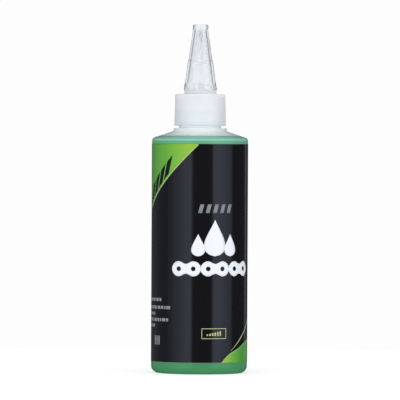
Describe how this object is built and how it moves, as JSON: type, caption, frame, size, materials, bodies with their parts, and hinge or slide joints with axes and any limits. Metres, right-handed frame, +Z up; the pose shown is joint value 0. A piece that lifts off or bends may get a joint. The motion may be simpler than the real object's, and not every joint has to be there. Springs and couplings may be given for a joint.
{
  "type": "chain lube bottle",
  "caption": "Cylindrical see-through squeeze bottle of green chain oil with a wrap-around label, screw closure, conical dropper spout and clear push-on tip cover.",
  "frame": {"origin": "middle of the ring that the bottle stands on, on the bottle's axis", "axes": "+Z up along the bottle's axis, -Y towards the viewer of the front, +X to that viewer's right"},
  "size_m": [0.0412, 0.0413, 0.1486],
  "materials": {
    "bottle_plastic": "natural blow-moulded polyethylene, milky and see-through",
    "label_film": "printed film, black with green corners, glossy varnish",
    "green_oil": "clear green oil",
    "washer_foam": "white closed-cell foam",
    "closure_plastic": "natural moulded polyethylene, satin",
    "clear_plastic": "clear moulded plastic, polished"
  },
  "bodies": {
    "bottle": {"bottle": "bottle_plastic", "label": "label_film", "lubricant": "green_oil"},
    "washer": {"sealing_washer": "washer_foam"},
    "closure": {"dropper_closure": "closure_plastic"},
    "cover": {"tip_cover": "clear_plastic"}
  },
  "joints": [
    {"name": "closure_lift", "type": "slide", "parent": "bottle", "child": "washer", "axis": [0, 0, 1], "range_m": [0, 0.00477]},
    {"name": "closure_turn", "type": "hinge", "parent": "washer", "child": "closure", "pos_m": [0, 0, 0.1118], "axis": [0, 0, 1], "range_deg": [0, 540]},
    {"name": "cover_pull", "type": "slide", "parent": "closure", "child": "cover", "axis": [0, 0, 1], "range_m": [0, 0.032]}
  ],
  "couplings": [
    {"joint": "closure_lift", "follows": "closure_turn", "m_per_rad": 0.00050532}
  ]
}
